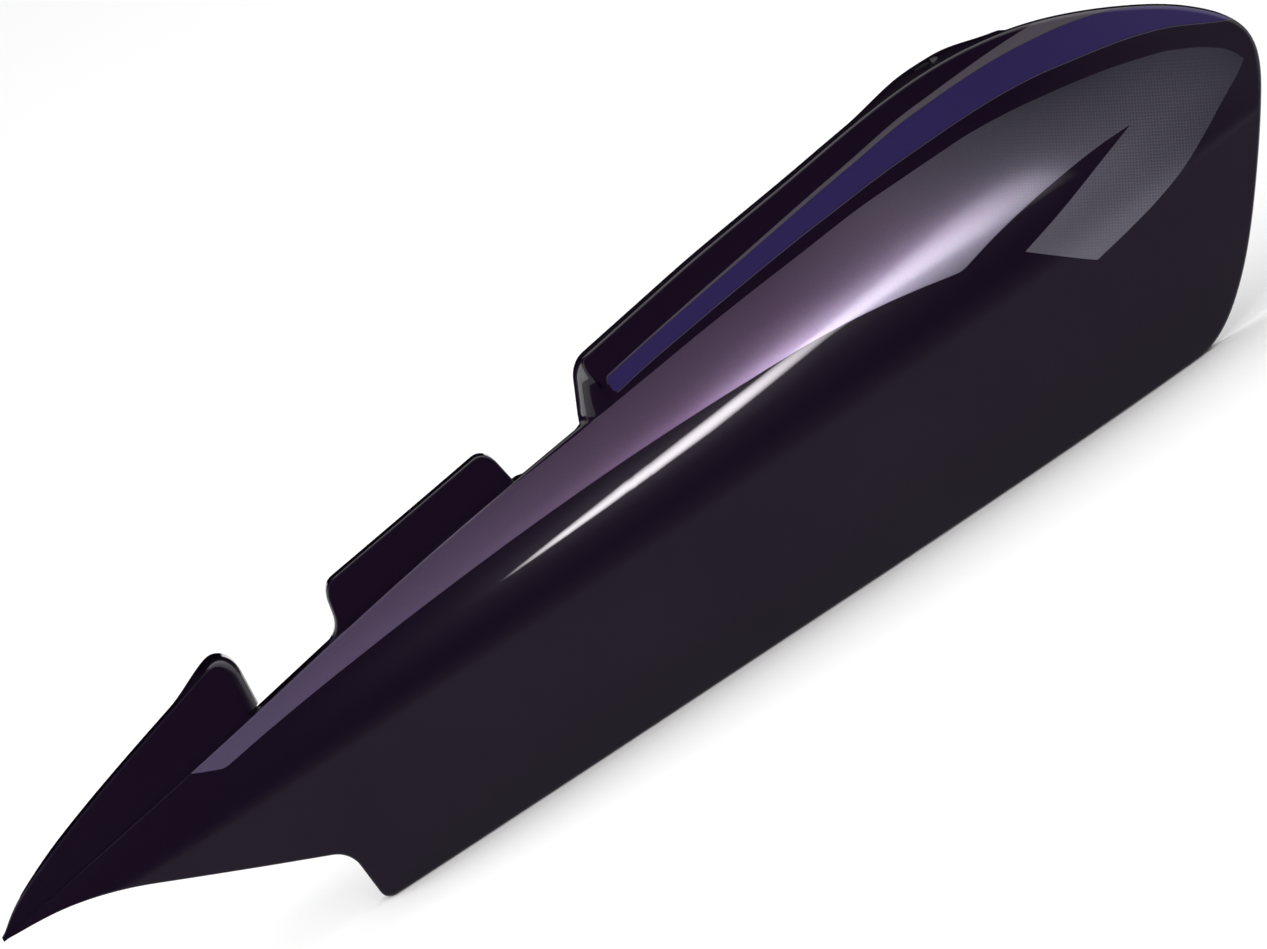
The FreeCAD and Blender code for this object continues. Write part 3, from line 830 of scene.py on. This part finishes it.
# studio: floor, cards that only reflections see, lamps, white surroundings
studio = {"floorSize": 14.0, "floorColour": (0.93, 0.93, 0.93, 1), "floorRoughness": 0.9, "worldLevel": 0.95,
          "lowGlow": 0.5, "lowReach": 0.45, "sideGlow": 0.30, "sideStart": 0.9, "sideReach": 2.6}
noLight, fullLight = (0, 0, 0, 1), (1, 1, 1, 1)
floorZ = cadBox[0][2]
deselectAll()
bpy.ops.mesh.primitive_plane_add(size=studio["floorSize"], location=(0, 0, floorZ))
floor = bpy.context.object
floor.name = "floor"
bpy.ops.object.transform_apply(location=True, rotation=True, scale=True)
floorMaterial, _, floorShader = newMaterial("paleFloor")
fixed(floorShader, {"Base Color": studio["floorColour"], "Roughness": studio["floorRoughness"],
                    "Specular IOR Level": 0.0})
floor.data.materials.append(floorMaterial)


def plane(name, material, steps=1):
    deselectAll()
    bpy.ops.mesh.primitive_grid_add(x_subdivisions=steps, y_subdivisions=1, size=1)
    piece = bpy.context.object
    piece.name = name
    piece.data.materials.append(material)
    piece.visible_camera = piece.visible_shadow = False
    return piece


def glowOnly(shader, glow, tint, level):
    glow.blend(noLight, tint).into(shader, "Emission Color")
    fixed(shader, {"Base Color": noLight, "Specular IOR Level": 0.0, "Emission Strength": level})


def darkCard(name, corners, lowGlow=0.0):
    material, flow, shader = newMaterial(name)
    place = flow.node("ShaderNodeTexCoord", {}, {}, "Object")
    split = flow.node("ShaderNodeSeparateXYZ", {}, {0: place})
    low = 1 - split.also(2).ramp(floorZ, floorZ + studio["lowReach"])
    side = split.also(0).ramp(studio["sideStart"], studio["sideStart"] + studio["sideReach"])
    glowOnly(shader, low * low * lowGlow + side * studio["sideGlow"], fullLight, 1.0)
    card = plane(name, material)
    for v, corner in zip(card.data.vertices, corners):
        v.co = Vector(corner)
    card.visible_diffuse = False


def standing(left, right, y, low, high):
    return (left, y, low), (right, y, low), (left, y, high), (right, y, high)


def lying(left, right, front, back, z):
    return (left, front, z), (right, front, z), (left, back, z), (right, back, z)


cards = {"left": -1.6, "right": 5.0, "front": -2.4, "top": 2.6, "topBack": 1.2,
         "floorBack": -0.02, "lift": 0.002, "back": 2.2, "backHalf": 2.6, "backTop": 1.1, "noseLeft": -4.0,
         "noseRight": -0.75, "noseTop": 4.0}
ends, front, back = (cards["left"], cards["right"]), cards["front"], cards["back"]
darkCard("frontCard", standing(*ends, front, floorZ, cards["top"]), studio["lowGlow"])
darkCard("topCard", lying(*ends, front, cards["topBack"], cards["top"]))
darkCard("floorCard", lying(*ends, front, cards["floorBack"], floorZ + cards["lift"]), studio["lowGlow"])
darkCard("backCard", standing(-cards["backHalf"], cards["backHalf"], back, floorZ, cards["backTop"]))
noseEnds = (cards["noseLeft"], cards["noseRight"])
darkCard("noseCard", standing(*noseEnds, back, cards["backTop"], cards["noseTop"]))

# long soft lamp in front, its line follows the streak on the panel
strip = {"left": Vector((-0.38, -1.36, 0.44)), "middle": Vector((-0.03, -1.36, 0.54)),
         "right": Vector((0.56, -1.36, 0.735)), "halves": (0.006, 0.065, 0.05, 0.17, 0.22), "level": 52.0,
         "tint": (1, 0.95, 1, 1), "fadeIn": 0.12, "fadeOut": 0.55, "dimStart": 0.3, "dimEnd": 0.55,
         "dim": 0.72, "steps": 24}


def stripLamp():
    material, flow, shader = newMaterial("stripLamp")
    split = flow.node("ShaderNodeSeparateXYZ", {}, {0: flow.node("ShaderNodeTexCoord", {}, {}, "UV")})
    lengthways, across = split.also(0), split.also(1)
    fade = lengthways.ramp(0.0, strip["fadeIn"]) * (1 - lengthways.ramp(strip["fadeOut"], 1.0))
    edge = 4 * across * (1 - across)  # brightest along the middle
    glow = fade * edge * (1 - lengthways.ramp(strip["dimStart"], strip["dimEnd"]) * strip["dim"])
    glowOnly(shader, glow, strip["tint"], strip["level"])
    lamp = plane("stripLamp", material, strip["steps"])
    halves = strip["halves"]
    bend = strip["middle"] * 2 - (strip["left"] + strip["right"]) / 2
    for v in lamp.data.vertices:
        t = v.co.x + 0.5
        spot = t * (len(halves) - 1)
        k = min(int(spot), len(halves) - 2)
        half = halves[k] + (halves[k + 1] - halves[k]) * (spot - k)
        first, second = strip["left"].lerp(bend, t), bend.lerp(strip["right"], t)
        upward = (second - first).normalized().cross(Vector((0, 1, 0))) * -half
        v.co = first.lerp(second, t) + upward * (2 * v.co.y)


stripLamp()
lamps = {  # place, size, power
    "fillLamp": ((-1.8, -1.0, 1.0), 0.8, 4.0),
    "rimLamp": ((-1.9, 0.65, 0.75), 1.6, 21.0),
}
lampAim = Vector((-0.2, -0.05, -0.08))
for name, (place, size, power) in lamps.items():
    bpy.ops.object.light_add(type="AREA", location=place)
    lamp = bpy.context.object
    lamp.name = name
    lamp.data.size, lamp.data.energy = size, power
    lamp.rotation_euler = (lampAim - Vector(place)).to_track_quat("-Z", "Y").to_euler()

world = bpy.data.worlds.new("studioLight")
scene.world = world
world.use_nodes = True
rays = Flow(world.node_tree).node("ShaderNodeLightPath", {}, {}, "Is Camera Ray")
direct = rays.higher(rays.also("Is Glossy Ray")).higher(rays.also("Is Transmission Ray"))
background = world.node_tree.nodes["Background"]
fixed(background, {"Color": fullLight})
(direct * (1 - studio["worldLevel"]) + studio["worldLevel"]).into(background, "Strength")
print("studio ready")

# camera
view = {"width": 1267, "scale": 0.4406, "turn": 33.468, "elevation": 12.0, "distance": 12.0,
        "target": (345.7, 0.0, 102.8), "sensor": 36.0, "farClip": 50.0}
elevation, turn = math.radians(view["elevation"]), math.radians(view["turn"])
bpy.ops.object.camera_add()
camera = bpy.context.object
camera.name = "photoView"
across = Vector((1, 0, 0))
upright = Vector((0, math.sin(elevation), math.cos(elevation)))
backward = Vector((0, -math.cos(elevation), math.sin(elevation)))
right = across * math.cos(turn) - upright * math.sin(turn)
up = across * math.sin(turn) + upright * math.cos(turn)
camera.rotation_euler = Matrix((right, up, backward)).transposed().to_euler()
camera.location = inRow(*view["target"]) + backward * view["distance"]
camera.data.sensor_width = view["sensor"]
camera.data.lens = view["sensor"] * view["distance"] / (view["width"] * view["scale"] * millimetre)
camera.data.clip_end = view["farClip"]
scene.camera = camera
print("camera lens", round(camera.data.lens, 1))
